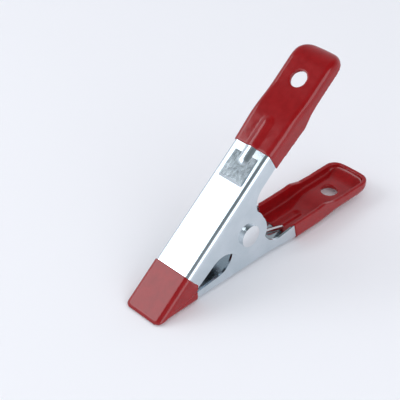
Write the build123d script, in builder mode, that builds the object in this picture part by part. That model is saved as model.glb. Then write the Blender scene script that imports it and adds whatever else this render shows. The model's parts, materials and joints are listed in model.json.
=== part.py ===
from build123d import *

import os
from math import acos, atan, atan2, cos, degrees, hypot, radians, sin, sqrt, tan

# A hand spring clamp of pressed zinc-plated steel: two channel-shaped arms cross on a rivet,
# a torsion spring on the rivet pushes the handles apart and so closes the jaws, and both
# handles and both jaw tips are dipped in vinyl.  It lies on its lower arm with the jaws shut.
# Sizes in millimetres.  +X runs along the lower arm from the jaw to the handle, +Z is up.

# Driving dimensions: the pressed arms
web_width = 16.0
sheet = 0.8
bend_radius = 1.9            # outside radius of the bend between web and cheek
pivot_height = 15.0          # from the outer face of each web to the rivet's axis
closed_angle = 39.3          # between the two webs with the jaws shut
cheek_lean = 2.0             # degrees; the outer arm's cheeks lean out, the inner arm's lean in
jaw_steel_end = 36.4         # distances along the web are counted from below the rivet
handle_end = 65.4
handle_corner = 4.5          # plan radius of the handle's corners
flare_rounding = 20.0        # plan radius where the handle widens
handle_bulge = 0.6           # how far the middle of the handle's end stands past its corners
waist_start, waist_end = 35.0, 48.8
waist_step = 1.1             # the web steps in here, so that the palm's part is slimmer
scoop_start, scoop_radius = 58.4, 8.8
ear_fillet = 7.5
grip_rim = [                 # rim of the handle's cheeks: place along the web, depth
    (23.0, 6.4),
    (35.5, 6.4),
    (39.4, 6.8),
    (44.5, 5.3),
    (50.0, 5.0),
    (70.0, 5.0),
]
rim_smoothing = 3.0
# Where the two jaw tips part, in the inner arm's coordinates (along, depth), nose to mouth.
# The outer arm's cheeks reach past the middle and the inner arm's stop short.
parting_line = [(-44.0, -0.71), (-29.5, 3.05), (-23.0, 4.3)]

# What differs between the arms.  The outer arm's cheeks lean out and its ears stand outside
# the inner arm's, whose cheeks lean in.
outer_jaw_rim = [(-26.5, 6.8), (-15.1, 7.6)]     # rim of the cheeks in front of the ear
inner_jaw_rim = [(-23.5, 3.8), (-14.2, 4.5)]
outer_neck, inner_neck = 6.5, 4.75               # depth of the cheeks just behind the ear
outer_ear = (-0.1, 16.1, 7.9)                    # ear: place along the web, depth, radius
inner_ear = (0.8, 15.0, 7.8)
outer_flare = (24.0, 34.0, 17.0)                 # widening: start, end, width of the handle
inner_flare = (12.0, 22.0, 17.8)

# Formed features of both webs
rib_start, rib_end = 17.2, 36.4
rib_width, rib_height = 4.6, 0.65
boss_start, boss_end = 11.0, 21.6
boss_width, boss_height = 10.2, 0.5
boss_step = 0.9              # run of the boss's steep front

# Dipped vinyl
vinyl = 0.4                  # on the outside
lining = 0.35                # on the inside
nose_reach = 42.2            # the jaw coat's web would end here, plus its own thickness,
nose_rounding = 0.79         # but the bend round the nose takes this much off it
nose_corner = 2.1            # no tighter than the bend that runs round it
grip_dip, grip_dip_run = 24.4, 1.5
lining_dip = 23.2            # the coat reaches further on the inside of a handle
jaw_dip, jaw_dip_run = 23.4, 0.9
dip_run_depth = 7.5          # the dip lines run askew by those amounts over this depth
cavity_end = 36.6            # the hollow behind the jaw tip ends here
hole_position, hole_radius = 52.2, 3.1
part_gap = 0.16              # between the two jaw tips

# Rivet and spring
shank_radius = 2.4
running_clearance = 0.06
head_radius, head_height = 4.0, 1.6
head_rim, head_sink = 0.95, 0.45     # height of the head's edge above and below the cheek
wire_radius = 1.0
coil_radius = 3.75
coil_pitch = 2.15
full_coils = 4
leg_reach, leg_depth = 23.4, 1.95    # where a leg's end lies in its handle
leg_across = 2.2
leg_bead = 0.01              # the bead where a leg leaves the coil stands this proud of the wire

# Derived values
rib_form_radius = ((rib_width / 2) ** 2 + rib_height**2) / (2 * rib_height)
nose_end = nose_reach + vinyl - nose_rounding
grip_end = handle_end + vinyl
rest_tilt = degrees(atan(rib_height / (nose_reach + grip_dip)))
foot_height = vinyl + nose_reach * tan(radians(rest_tilt))
pivot_x = (nose_end - grip_end) / 2
pivot_z = foot_height + pivot_height * cos(radians(rest_tilt))
block_depth = 30.0           # the pressing forms are solid blocks, deeper than any cheek
block_reach = 60.0
cut_width = 40.0
reach_out = 1.2              # plan sketches start this far outside the web
same_place = 0.1


class Arm:
    """Sketch planes of one arm, and what differs between the two arms."""

    def __init__(self, web_angle, inward_turn, lean, jaw_rim, neck, ear, flare, hole_fit):
        angle = radians(web_angle)
        self.along = Vector(cos(angle), 0, sin(angle))
        self.inward = Vector(-sin(angle), 0, cos(angle)) * inward_turn
        self.foot = pivot - self.inward * pivot_height
        self.lean = lean
        self.jaw_rim = jaw_rim
        self.neck = neck
        self.ear_place, self.ear_depth, self.ear_radius = ear
        self.flare_start, self.flare_end, self.handle_width = flare
        self.hole_radius = shank_radius + hole_fit
        self.side = Plane(self.foot, x_dir=self.along, z_dir=self.along.cross(self.inward))

    def point(self, position, depth, across=0.0):
        """A point by its place along the web, its depth inward and its place across."""
        return self.foot + self.along * position + self.inward * depth + Vector(0, across, 0)

    def station(self, position):
        """A plane square to the web's length, with its x axis pointing inward."""
        return Plane(self.point(position, 0), x_dir=self.inward, z_dir=self.along)

    def level(self, depth):
        """A plane parallel to the web, looking inward."""
        return Plane(self.point(0, depth), x_dir=self.along, z_dir=self.inward)

    def measure(self, place):
        """The place along the web and the depth of a point."""
        offset_from_foot = place - self.foot
        return offset_from_foot.dot(self.along), offset_from_foot.dot(self.inward)


pivot = Vector(pivot_x, 0, pivot_z)
outer = Arm(
    closed_angle + rest_tilt,
    -1,
    -cheek_lean,
    outer_jaw_rim,
    outer_neck,
    outer_ear,
    outer_flare,
    0.0,
)
inner = Arm(
    rest_tilt,
    1,
    cheek_lean,
    inner_jaw_rim,
    inner_neck,
    inner_ear,
    inner_flare,
    running_clearance,
)


def plain_block(arm, grow):
    """The arm as a filled block, with every outer face moved out by grow."""
    with BuildPart() as block:
        with BuildSketch(arm.side):
            with BuildLine():
                flat = Line((-block_reach, 0), (waist_start, 0))
                middle = ((waist_start + waist_end) / 2, waist_step / 2)
                bend_in = TangentArc(flat @ 1, middle, tangent=flat % 1)
                waist = (waist_end, waist_step)
                bend_out = TangentArc(bend_in @ 1, waist, tangent=bend_in % 1)
                palm = Line(bend_out @ 1, (scoop_start, waist_step))
                scoop_end = (scoop_start + scoop_radius, waist_step + scoop_radius)
                scoop = TangentArc(palm @ 1, scoop_end, tangent=palm % 1)
                Polyline(
                    scoop @ 1,
                    (scoop_end[0], block_depth),
                    (-block_reach, block_depth),
                    flat @ 0,
                )
            make_face()
            offset(amount=grow, kind=Kind.INTERSECTION, mode=Mode.REPLACE)
        extrude(amount=web_width, both=True)

        with BuildSketch(arm.level(-reach_out)) as plan:
            with BuildLine():
                jaw_side = web_width / 2
                grip_side = arm.handle_width / 2
                corner = handle_end - handle_bulge
                ThreePointArc((corner, -grip_side), (handle_end, 0), (corner, grip_side))
                Polyline(
                    (corner, grip_side),
                    (arm.flare_end, grip_side),
                    (arm.flare_start, jaw_side),
                    (-nose_reach, jaw_side),
                    (-nose_reach, -jaw_side),
                    (arm.flare_start, -jaw_side),
                    (arm.flare_end, -grip_side),
                    (corner, -grip_side),
                )
            make_face()
            round_corners(plan, [(corner, handle_corner), (-nose_reach, nose_corner)])
            round_corners(plan, [(arm.flare_end, flare_rounding), (arm.flare_start, flare_rounding)])
            offset(amount=grow, kind=Kind.INTERSECTION, mode=Mode.REPLACE)
        extrude(amount=block_depth, taper=arm.lean, mode=Mode.INTERSECT)

        bends = block.edges().filter_by(
            lambda edge: (edge.center() - arm.foot).dot(arm.inward) < block_depth / 3
        )
        fillet(bends, bend_radius + grow)
    return block.part


def round_corners(sketch, corners):
    """Round the sketch's vertices that stand at the given places along its x axis."""
    for place, radius in corners:
        found = sketch.vertices().filter_by_position(
            Axis.X, place - same_place, place + same_place
        )
        fillet(found, radius)


def formed_block(arm, grow, with_boss=False):
    """The filled block with the web's raised rib and, on bare steel, the boss before it."""
    plain = plain_block(arm, grow)
    rib_depth = rib_form_radius - rib_height
    first = rib_start + rib_width / 2
    last = rib_end - rib_width / 2
    with BuildPart() as block:
        add(plain)
        with BuildSketch(arm.station(first)):
            with Locations((rib_depth, 0)):
                Circle(rib_form_radius + grow)
        extrude(amount=last - first)
        with Locations(arm.point(first, rib_depth), arm.point(last, rib_depth)):
            Sphere(rib_form_radius + grow)
        if with_boss:
            with BuildSketch(arm.side):
                Polygon(
                    (boss_start, sheet - grow),
                    (boss_start, -grow),
                    (boss_start + boss_step, -boss_height - grow),
                    (boss_end, -grow),
                    (boss_end, sheet - grow),
                    align=None,
                )
            extrude(amount=boss_width / 2 + grow, both=True)
    return block.part


def side_outline(arm):
    """The outline of the bare arm seen from the side."""
    touches = []
    for rim_depth in (arm.jaw_rim[-1][1], arm.neck):
        drop = arm.ear_depth - rim_depth - ear_fillet
        run = sqrt((arm.ear_radius + ear_fillet) ** 2 - drop**2)
        share = arm.ear_radius / (arm.ear_radius + ear_fillet)
        touches.append((run, run * share, arm.ear_depth - drop * share))
    (jaw_run, jaw_side, jaw_depth), (grip_run, grip_side, grip_depth) = touches
    jaw_touch = (arm.ear_place - jaw_side, jaw_depth)
    grip_touch = (arm.ear_place + grip_side, grip_depth)
    jaw_foot = (arm.ear_place - jaw_run, arm.jaw_rim[-1][1])
    grip_foot = (arm.ear_place + grip_run, arm.neck)
    far_tip = (-block_reach, arm.jaw_rim[0][1])
    with BuildSketch() as outline:
        with BuildLine():
            rim = Polyline(far_tip, arm.jaw_rim[0], jaw_foot)
            TangentArc(rim @ 1, jaw_touch, tangent=(1, 0))
            ear_bottom = (arm.ear_place, arm.ear_depth + arm.ear_radius)
            ThreePointArc(jaw_touch, ear_bottom, grip_touch)
            TangentArc(grip_foot, grip_touch, tangent=(-1, 0))
            back = Polyline(grip_foot, *grip_rim)
            Polyline(
                back @ 1,
                (grip_rim[-1][0], -reach_out - vinyl),
                (-block_reach, -reach_out - vinyl),
                rim @ 0,
            )
        make_face()
        round_corners(outline, [(place, rim_smoothing) for place, _ in grip_rim[:-1]])
    return outline.sketch


def clip_to_parting(arm, gap):
    """Keep the open sketch on this arm's side of the line where the jaw tips part."""
    line = [arm.measure(inner.point(*place)) for place in parting_line]
    kept = [(place, depth - gap) for place, depth in line]
    mouth = kept[-1][0]
    Polygon(
        (-block_reach, kept[0][1] - block_reach),
        *kept,
        (mouth, block_depth),
        (2 * block_reach, block_depth),
        (2 * block_reach, -block_reach),
        align=None,
        mode=Mode.INTERSECT,
    )


def keep_between(low, high, skew=0.0):
    """Keep the open sketch between two places along the web; skew leans the edge forward."""
    deep = block_depth
    Polygon(
        (low + skew * deep, -deep),
        (high + skew * deep, -deep),
        (high - skew * deep, deep),
        (low - skew * deep, deep),
        align=None,
        mode=Mode.INTERSECT,
    )


def press_arm(arm):
    """One bare steel arm."""
    outside = formed_block(arm, 0.0, with_boss=True)
    inside = formed_block(arm, -sheet, with_boss=True)
    with BuildPart() as steel:
        add(outside)
        add(inside, mode=Mode.SUBTRACT)
        with BuildSketch(arm.side):
            add(side_outline(arm))
            clip_to_parting(arm, part_gap / 2 + vinyl)
            keep_between(-jaw_steel_end, 2 * block_reach)
        extrude(amount=cut_width / 2, both=True, mode=Mode.INTERSECT)
        with BuildSketch(arm.side):
            with Locations((0, pivot_height)):
                Circle(arm.hole_radius)
        extrude(amount=cut_width / 2, both=True, mode=Mode.SUBTRACT)
        with BuildSketch(arm.level(0)):
            with Locations((hole_position, 0)):
                Circle(hole_radius + vinyl)
        extrude(amount=waist_step + 2 * sheet, mode=Mode.SUBTRACT)
    return steel.part


def dip_handle(arm, steel):
    """The vinyl coat of one handle, inside and out."""
    skins = []
    for outward, inward, start in (
        (vinyl, -sheet / 2, grip_dip),
        (-sheet / 2, -sheet - lining, lining_dip),
    ):
        with BuildPart() as skin:
            add(formed_block(arm, outward))
            add(formed_block(arm, inward), mode=Mode.SUBTRACT)
            with BuildSketch(arm.side):
                add(side_outline(arm))
                offset(amount=vinyl, kind=Kind.INTERSECTION, mode=Mode.REPLACE)
                keep_between(start, 2 * block_reach, grip_dip_run / dip_run_depth)
            extrude(amount=cut_width / 2, both=True, mode=Mode.INTERSECT)
        skins.append(skin.part)
    with BuildPart() as grip:
        for skin in skins:
            add(skin)
        add(steel, mode=Mode.SUBTRACT)
        with BuildSketch(arm.level(-vinyl)):
            with Locations((hole_position, 0)):
                Circle(hole_radius)
        extrude(amount=waist_step + 3 * sheet, mode=Mode.SUBTRACT)
    return grip.part


def dip_jaw(arm, steel):
    """The vinyl coat of one jaw: solid at the nose, a lined channel behind it."""
    outside = plain_block(arm, vinyl)
    inside = plain_block(arm, -sheet - lining)
    with BuildPart() as hollow:
        add(inside)
        with BuildSketch(arm.side):
            Rectangle(2 * block_reach, 2 * block_depth)
            keep_between(-cavity_end, 0)
        extrude(amount=cut_width / 2, both=True, mode=Mode.INTERSECT)
    with BuildPart() as tip:
        add(outside)
        add(hollow.part, mode=Mode.SUBTRACT)
        with BuildSketch(arm.side):
            add(side_outline(arm))
            offset(amount=vinyl, kind=Kind.INTERSECTION, mode=Mode.REPLACE)
            clip_to_parting(arm, part_gap / 2)
            keep_between(-2 * block_reach, -jaw_dip, jaw_dip_run / dip_run_depth)
        extrude(amount=cut_width / 2, both=True, mode=Mode.INTERSECT)
        add(steel, mode=Mode.SUBTRACT)
    return tip.part


def make_rivet(seat):
    """The rivet: a shank through all four ears and a domed head against each outer ear."""
    face = web_width / 2 + (pivot_height + reach_out) * tan(radians(cheek_lean))
    shoulder = face + head_rim
    top = face + head_height
    with BuildPart() as rivet:
        with BuildSketch(Plane(pivot, x_dir=(1, 0, 0), z_dir=(0, 0, 1))):
            with BuildLine():
                Line((0, -top), (0, top))
                for side in (1, -1):
                    edge = (head_radius, side * shoulder)
                    dome = TangentArc((0, side * top), edge, tangent=(1, 0))
                    Polyline(
                        dome @ 1,
                        (head_radius, side * (face - head_sink)),
                        (shank_radius, side * (face - head_sink)),
                    )
                Line((shank_radius, face - head_sink), (shank_radius, head_sink - face))
            make_face()
        revolve(axis=Axis(pivot, (0, 1, 0)))
        add(seat, mode=Mode.SUBTRACT)
    return rivet.part


def make_spring():
    """The torsion spring: a close coil round the rivet and a straight leg into each handle."""
    reach = hypot(leg_reach, pivot_height - leg_depth)
    leg_angle = degrees(atan2(pivot_height - leg_depth, leg_reach))
    touch_angle = leg_angle + degrees(acos(coil_radius / reach))
    start = rest_tilt - touch_angle
    stop = rest_tilt + closed_angle + touch_angle
    coils = full_coils + (start - stop + 360) / 360
    length = coils * coil_pitch
    base = pivot - Vector(0, length / 2, 0)
    helix = Helix(coil_pitch, length, coil_radius, center=base, direction=(0, 1, 0))
    helix = helix.rotate(Axis(pivot, (0, 1, 0)), 90 - start)
    with BuildPart() as spring:
        with BuildLine():
            add(helix)
        with BuildSketch(Plane(helix @ 0, z_dir=helix % 0)):
            Circle(wire_radius)
        sweep(is_frenet=True)
        for touch, arm, across in ((helix @ 0, inner, -leg_across), (helix @ 1, outer, leg_across)):
            end = arm.point(leg_reach, leg_depth, across)
            with BuildSketch(Plane(touch, z_dir=end - touch)):
                Circle(wire_radius)
            extrude(amount=(end - touch).length)
            with Locations(touch):
                Sphere(wire_radius + leg_bead)
    return spring.part


os.makedirs("parts", exist_ok=True)

lower_arm = press_arm(inner)
upper_arm = press_arm(outer)
pieces = {
    "lower_arm": lower_arm,
    "upper_arm": upper_arm,
    "lower_handle_grip": dip_handle(inner, lower_arm),
    "upper_handle_grip": dip_handle(outer, upper_arm),
    "lower_jaw_tip": dip_jaw(inner, lower_arm),
    "upper_jaw_tip": dip_jaw(outer, upper_arm),
    "pivot_rivet": make_rivet(upper_arm),
    "torsion_spring": make_spring(),
}
for name, piece in pieces.items():
    piece.label = name
    export_step(piece, f"parts/{name}.step")
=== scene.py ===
import json
from math import acos, atan2, cos, degrees, hypot, pi, radians, sin

import bmesh
import bpy
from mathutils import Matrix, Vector


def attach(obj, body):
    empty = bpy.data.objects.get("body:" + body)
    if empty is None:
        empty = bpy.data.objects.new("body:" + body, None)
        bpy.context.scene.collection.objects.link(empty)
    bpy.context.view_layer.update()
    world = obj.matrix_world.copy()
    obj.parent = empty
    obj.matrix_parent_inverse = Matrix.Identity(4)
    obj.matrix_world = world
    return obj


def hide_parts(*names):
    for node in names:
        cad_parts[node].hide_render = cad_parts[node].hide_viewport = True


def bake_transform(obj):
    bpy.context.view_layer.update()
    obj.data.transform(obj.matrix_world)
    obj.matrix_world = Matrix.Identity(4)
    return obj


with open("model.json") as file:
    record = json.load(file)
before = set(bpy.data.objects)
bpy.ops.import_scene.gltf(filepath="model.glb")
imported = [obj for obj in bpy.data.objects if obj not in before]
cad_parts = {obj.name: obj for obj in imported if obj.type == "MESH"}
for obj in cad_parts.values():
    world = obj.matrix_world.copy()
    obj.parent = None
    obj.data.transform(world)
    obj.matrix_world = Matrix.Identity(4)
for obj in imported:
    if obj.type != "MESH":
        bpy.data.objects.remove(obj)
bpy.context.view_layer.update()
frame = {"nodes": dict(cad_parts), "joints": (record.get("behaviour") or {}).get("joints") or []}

nodes = frame["nodes"]
joint = frame["joints"][0]
PIVOT = Vector(joint["pos_m"])
MM = 0.001

# Dimensions repeated from the CAD source, in millimetres and degrees
REST_TILT = 0.5592
CLOSED_ANGLE = 39.3
PIVOT_HEIGHT = 15.0
WIRE_RADIUS = 1.0
COIL_RADIUS = 3.75
COIL_PITCH = 2.15
FULL_COILS = 4
LEG_REACH, LEG_DEPTH, LEG_ACROSS = 23.4, 1.95, 2.2
GRIP_DIP, GRIP_SKEW = 24.4, 0.2
JAW_DIP, JAW_SKEW = 23.4, 0.12

# How the visual pieces are made, in millimetres
STEEL_SETBACK = 0.1          # the steel inside a coat starts this far behind its dip line
GRIP_VOXEL, GRIP_ROUNDS = 0.24, 8
JAW_VOXEL, JAW_ROUNDS = 0.2, 14
SAME_POINT = 1e-7            # metres
COIL_STEPS, LEG_STEPS = 240, 12
WIRE_SIDES = 20
END_RINGS = 3                # rings that round off the end of a wire
FLOOR_RADIUS = 6.0           # metres
LIGHT_AIM = Vector((0, 0, 0.03))     # metres


class Arm:
    """The directions of one arm: along its web to the handle, and inward from its web."""

    def __init__(self, web_angle, turn):
        a = radians(web_angle)
        self.along = Vector((cos(a), 0, sin(a)))
        self.inward = Vector((-sin(a), 0, cos(a))) * turn
        self.foot = PIVOT - self.inward * PIVOT_HEIGHT * MM

    def point(self, place, depth, across=0.0):
        offset = self.along * place + self.inward * depth + Vector((0, across, 0))
        return self.foot + offset * MM


lower = Arm(REST_TILT, 1)
upper = Arm(REST_TILT + CLOSED_ANGLE, -1)


# ---------------------------------------------------------------- materials


def shader(name, **sockets):
    """A new node material with these Principled sockets set."""
    material = bpy.data.materials.new(name)
    material.use_nodes = True
    tree = material.node_tree
    bsdf = tree.nodes["Principled BSDF"]
    for socket, value in sockets.items():
        bsdf.inputs[socket.replace("_", " ")].default_value = value
    return material, tree, bsdf


def coordinates(tree, stretch=(1, 1, 1)):
    """Object coordinates, stretched by these factors."""
    where = tree.nodes.new("ShaderNodeTexCoord")
    mapping = tree.nodes.new("ShaderNodeMapping")
    mapping.inputs["Scale"].default_value = stretch
    tree.links.new(where.outputs["Object"], mapping.inputs["Vector"])
    return mapping.outputs["Vector"]


def noise(tree, vector, scale, detail):
    node = tree.nodes.new("ShaderNodeTexNoise")
    node.inputs["Scale"].default_value = scale
    node.inputs["Detail"].default_value = detail
    node.inputs["Roughness"].default_value = 0.5
    tree.links.new(vector, node.inputs["Vector"])
    return node.outputs["Fac"]


def spread(tree, value, low, high):
    """The value spread from low to high, for a texture that mostly runs from 0.3 to 0.7."""
    node = tree.nodes.new("ShaderNodeMapRange")
    node.inputs["From Min"].default_value = 0.3
    node.inputs["From Max"].default_value = 0.7
    node.inputs["To Min"].default_value = low
    node.inputs["To Max"].default_value = high
    tree.links.new(value, node.inputs["Value"])
    return node.outputs["Result"]


def two_tone(tree, value, dark, light):
    """A colour between dark and light, for a texture that mostly runs from 0.3 to 0.7."""
    ramp = tree.nodes.new("ShaderNodeValToRGB")
    ramp.color_ramp.elements[0].position = 0.3
    ramp.color_ramp.elements[1].position = 0.7
    ramp.color_ramp.elements[0].color = (*dark, 1)
    ramp.color_ramp.elements[1].color = (*light, 1)
    tree.links.new(value, ramp.inputs["Fac"])
    return ramp.outputs["Color"]


def bump(tree, bsdf, *layers):
    """Bump layers of (height, distance in metres), one upon another."""
    normal = None
    for height, distance in layers:
        node = tree.nodes.new("ShaderNodeBump")
        node.inputs["Distance"].default_value = distance
        tree.links.new(height, node.inputs["Height"])
        if normal is not None:
            tree.links.new(normal, node.inputs["Normal"])
        normal = node.outputs["Normal"]
    tree.links.new(normal, bsdf.inputs["Normal"])


def steel(name, dark, light, rough, grain_along, grain=1.0):
    """Bright plated steel: cloudy colour, rolling lines and a fine matt grain."""
    material, tree, bsdf = shader(name, Metallic=1.0)
    plain = coordinates(tree)
    lines = coordinates(tree, grain_along)
    clouds = noise(tree, plain, 190, 4)
    rolling = noise(tree, lines, 900, 2)
    fine = noise(tree, plain, 5200, 2)
    tree.links.new(two_tone(tree, clouds, dark, light), bsdf.inputs["Base Color"])
    tree.links.new(spread(tree, rolling, *rough), bsdf.inputs["Roughness"])
    bump(
        tree,
        bsdf,
        (clouds, 0.000006 * grain),
        (rolling, 0.0000011 * grain),
        (fine, 0.0000006 * grain),
    )
    return material


def vinyl(name, dark, light):
    """Thick glossy dipped vinyl, with the slow waves of a dip and a few fine pits."""
    material, tree, bsdf = shader(name, IOR=1.5)
    plain = coordinates(tree)
    waves = noise(tree, plain, 130, 2)
    mottle = noise(tree, plain, 420, 4)
    peel = noise(tree, plain, 1900, 2)
    tree.links.new(two_tone(tree, mottle, dark, light), bsdf.inputs["Base Color"])
    tree.links.new(spread(tree, mottle, 0.09, 0.17), bsdf.inputs["Roughness"])
    bump(tree, bsdf, (waves, 0.00010), (peel, 0.000004))
    return material


def paper(name, colour):
    """Matt studio paper."""
    material, tree, bsdf = shader(name, Roughness=0.9)
    plain = coordinates(tree)
    tone = noise(tree, plain, 6, 2)
    shades = [tuple(c * f for c in colour) for f in (0.99, 1.0)]
    tree.links.new(two_tone(tree, tone, *shades), bsdf.inputs["Base Color"])
    return material


zinc = steel(
    "zinc_plated_steel",
    (0.60, 0.675, 0.72),
    (0.68, 0.745, 0.79),
    (0.10, 0.19),
    (0.12, 1, 1),
)
rivet_metal = steel(
    "rivet_steel", (0.74, 0.76, 0.78), (0.82, 0.84, 0.86), (0.08, 0.16), (1, 1, 1), 1.5
)
wire_metal = steel(
    "spring_wire", (0.50, 0.50, 0.51), (0.62, 0.62, 0.63), (0.10, 0.2), (0.3, 1, 1)
)
red_vinyl = vinyl("red_vinyl", (0.25, 0.0028, 0.0045), (0.30, 0.004, 0.006))


def paint(obj, material):
    obj.data.materials.clear()
    obj.data.materials.append(material)


# ---------------------------------------------------------------- dipped vinyl


def settle(obj):
    """Apply every modifier of obj to its mesh."""
    graph = bpy.context.evaluated_depsgraph_get()
    mesh = bpy.data.meshes.new_from_object(obj.evaluated_get(graph))
    old = obj.data
    obj.modifiers.clear()
    obj.data = mesh
    bpy.data.meshes.remove(old)
    return obj


def link(name, mesh):
    obj = bpy.data.objects.new(name, mesh)
    bpy.context.scene.collection.objects.link(obj)
    return obj


def dip(name, node, steel_node, at, toward, voxel, rounds):
    """The coat of a CAD node with the soft edges of a dipped skin, laid over the same steel.

    The CAD coat and the steel inside it become one solid, and its edges are rounded by remeshing
    and smoothing. The steel is cut out of it again afterwards, by hollow().
    """
    body = bmesh.new()
    body.from_mesh(nodes[steel_node].data)
    bmesh.ops.remove_doubles(body, verts=body.verts, dist=SAME_POINT)
    cut = bmesh.ops.bisect_plane(
        body,
        geom=body.verts[:] + body.edges[:] + body.faces[:],
        plane_co=at,
        plane_no=-toward,
        clear_outer=True,
    )
    rim = [e for e in cut["geom_cut"] if isinstance(e, bmesh.types.BMEdge)]
    bmesh.ops.triangle_fill(body, edges=rim, use_beauty=True)
    body.from_mesh(nodes[node].data)
    mesh = bpy.data.meshes.new(name)
    body.to_mesh(mesh)
    body.free()
    coat = link(name, mesh)
    remesh = coat.modifiers.new("skin", "REMESH")
    remesh.mode = "VOXEL"
    remesh.voxel_size = voxel * MM
    remesh.use_smooth_shade = True
    smooth = coat.modifiers.new("round", "SMOOTH")
    smooth.factor = 0.5
    smooth.iterations = rounds
    return settle(coat)


def hollow(coat, steel_node):
    """Cut the steel out of the coat."""
    cutter = link("cutter", nodes[steel_node].data.copy())
    weld = cutter.modifiers.new("weld", "WELD")
    weld.merge_threshold = SAME_POINT
    cut = coat.modifiers.new("cut", "BOOLEAN")
    cut.operation = "DIFFERENCE"
    cut.solver = "MANIFOLD"
    cut.object = cutter
    settle(coat)
    bpy.data.objects.remove(cutter)


for arm, body, side in ((lower, "lower_half", "lower"), (upper, "upper_half", "upper")):
    steel_node = side + "_arm"
    toward = (arm.along + arm.inward * GRIP_SKEW).normalized()
    grip = dip(
        side + "_grip_skin",
        side + "_handle_grip",
        steel_node,
        arm.point(GRIP_DIP + STEEL_SETBACK, 0),
        toward,
        GRIP_VOXEL,
        GRIP_ROUNDS,
    )
    hollow(grip, steel_node)
    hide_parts(side + "_handle_grip")
    toward = (-arm.along + arm.inward * JAW_SKEW).normalized()
    tip = dip(
        side + "_jaw_skin",
        side + "_jaw_tip",
        steel_node,
        arm.point(-JAW_DIP - STEEL_SETBACK, 0),
        toward,
        JAW_VOXEL,
        JAW_ROUNDS,
    )
    hollow(tip, steel_node)
    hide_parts(side + "_jaw_tip")
    for coat in (grip, tip):
        paint(coat, red_vinyl)
        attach(coat, body)
    paint(nodes[steel_node], zinc)
paint(nodes["pivot_rivet"], rivet_metal)


# ---------------------------------------------------------------- spring


def tube(name, path, radius):
    """A mesh tube round a list of points, with rounded ends."""
    bm = bmesh.new()
    rings = []
    for i, p in enumerate(path):
        before = path[max(i - 1, 0)]
        after = path[min(i + 1, len(path) - 1)]
        tangent = (after - before).normalized()
        across = tangent.cross(Vector((0, 1, 0)))
        if across.length < 0.2:
            across = tangent.cross(Vector((1, 0, 0)))
        across.normalize()
        up = across.cross(tangent)
        ring = []
        for k in range(WIRE_SIDES):
            a = 2 * pi * k / WIRE_SIDES
            ring.append(bm.verts.new(p + (across * cos(a) + up * sin(a)) * radius))
        rings.append(ring)
    for one, two in zip(rings, rings[1:]):
        for k in range(WIRE_SIDES):
            j = (k + 1) % WIRE_SIDES
            bm.faces.new((one[k], one[j], two[j], two[k]))
    for ring, end, inner in ((rings[0], path[0], path[1]), (rings[-1], path[-1], path[-2])):
        out = (end - inner).normalized()
        last = ring
        for step in range(1, END_RINGS + 1):
            a = step * pi / (2 * END_RINGS + 2)
            new = [
                bm.verts.new(end + (v.co - end) * cos(a) + out * radius * sin(a))
                for v in ring
            ]
            for k in range(WIRE_SIDES):
                j = (k + 1) % WIRE_SIDES
                bm.faces.new((last[k], last[j], new[j], new[k]))
            last = new
        bm.faces.new(last)
    bmesh.ops.recalc_face_normals(bm, faces=bm.faces)
    for face in bm.faces:
        face.smooth = True
    mesh = bpy.data.meshes.new(name)
    bm.to_mesh(mesh)
    bm.free()
    return link(name, mesh)


reach = hypot(LEG_REACH, PIVOT_HEIGHT - LEG_DEPTH)
leg_angle = degrees(atan2(PIVOT_HEIGHT - LEG_DEPTH, LEG_REACH))
touch = leg_angle + degrees(acos(COIL_RADIUS / reach))
start = REST_TILT - touch
stop = REST_TILT + CLOSED_ANGLE + touch
coils = FULL_COILS + (start - stop + 360) / 360
length = coils * COIL_PITCH


def on_coil(share):
    """A point of the coil's centreline, from its lower leg (0) to its upper leg (1)."""
    a = radians(start - share * coils * 360)
    offset = Vector((cos(a) * COIL_RADIUS, (share - 0.5) * length, sin(a) * COIL_RADIUS))
    return PIVOT + offset * MM


turns = [on_coil(i / COIL_STEPS) for i in range(COIL_STEPS + 1)]
coil = tube("spring_coil", turns, WIRE_RADIUS * MM)
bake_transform(coil)
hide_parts("torsion_spring")
legs = []
for side, arm, share, across in (
    ("lower", lower, 0, -LEG_ACROSS),
    ("upper", upper, 1, LEG_ACROSS),
):
    first, last = on_coil(share), arm.point(LEG_REACH, LEG_DEPTH, across)
    line = [first.lerp(last, i / LEG_STEPS) for i in range(LEG_STEPS + 1)]
    leg = tube(f"spring_leg_{side}", line, WIRE_RADIUS * MM)
    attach(leg, side + "_half")
    legs.append(leg)
for piece in (coil, *legs):
    paint(piece, wire_metal)


# ---------------------------------------------------------------- stage

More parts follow.
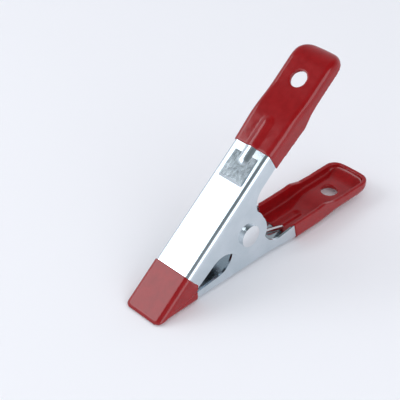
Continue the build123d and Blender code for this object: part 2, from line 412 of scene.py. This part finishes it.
bm = bmesh.new()
bmesh.ops.create_circle(bm, cap_ends=True, segments=64, radius=FLOOR_RADIUS)
floor_mesh = bpy.data.meshes.new("floor")
bm.to_mesh(floor_mesh)
bm.free()
floor = link("floor", floor_mesh)
paint(floor, paper("floor", (0.92, 0.895, 0.915)))


def softbox(name, toward, distance, size, power, glossy=True):
    """A rectangular studio light that looks at the middle of the clamp, from this direction."""
    data = bpy.data.lights.new(name, "AREA")
    data.shape = "RECTANGLE"
    data.size, data.size_y = size
    data.energy = power
    data.color = (0.92, 0.96, 1.0)
    light = bpy.data.objects.new(name, data)
    bpy.context.scene.collection.objects.link(light)
    way = Vector(toward).normalized()
    light.location = LIGHT_AIM + way * distance
    light.rotation_euler = (-way).to_track_quat("-Z", "Y").to_euler()
    light.visible_glossy = glossy


# The key ends low enough that the web mirrors it and the upper grip does not
softbox("key", (-0.544, 0.647, 0.534), 0.81, (0.6, 0.36), 1.9)
softbox("front", (-0.25, -0.85, 0.50), 1.0, (0.5, 0.9), 2.6)
softbox("top", (0.1, -0.1, 1.0), 1.0, (2.6, 2.6), 12.5, glossy=False)

world = bpy.data.worlds.new("studio")
bpy.context.scene.world = world
world.use_nodes = True
tree = world.node_tree
sky = tree.nodes["Background"]
direction = tree.nodes.new("ShaderNodeTexCoord")
split = tree.nodes.new("ShaderNodeSeparateXYZ")
ramp = tree.nodes.new("ShaderNodeValToRGB")
tree.links.new(direction.outputs["Generated"], split.inputs["Vector"])
tree.links.new(split.outputs["Z"], ramp.inputs["Fac"])
tree.links.new(ramp.outputs["Color"], sky.inputs["Color"])
stops = ramp.color_ramp.elements
stops[0].position, stops[0].color = 0.0, (1.0, 1.02, 1.08, 1)
stops[1].position, stops[1].color = 0.92, (0.10, 0.12, 0.12, 1)
middle = stops.new(0.3)
middle.color = (0.75, 0.78, 0.84, 1)

camera_data = bpy.data.cameras.new("camera")
camera_data.lens = 108
camera_data.sensor_width = 36
camera_data.clip_start = 0.01
camera = bpy.data.objects.new("camera", camera_data)
bpy.context.scene.collection.objects.link(camera)
camera.location = (-0.2460, -0.2229, 0.2641)
camera.rotation_euler = (radians(53.60), radians(-0.10), radians(-44.46))
bpy.context.scene.camera = camera
bpy.context.scene.view_settings.view_transform = "Standard"
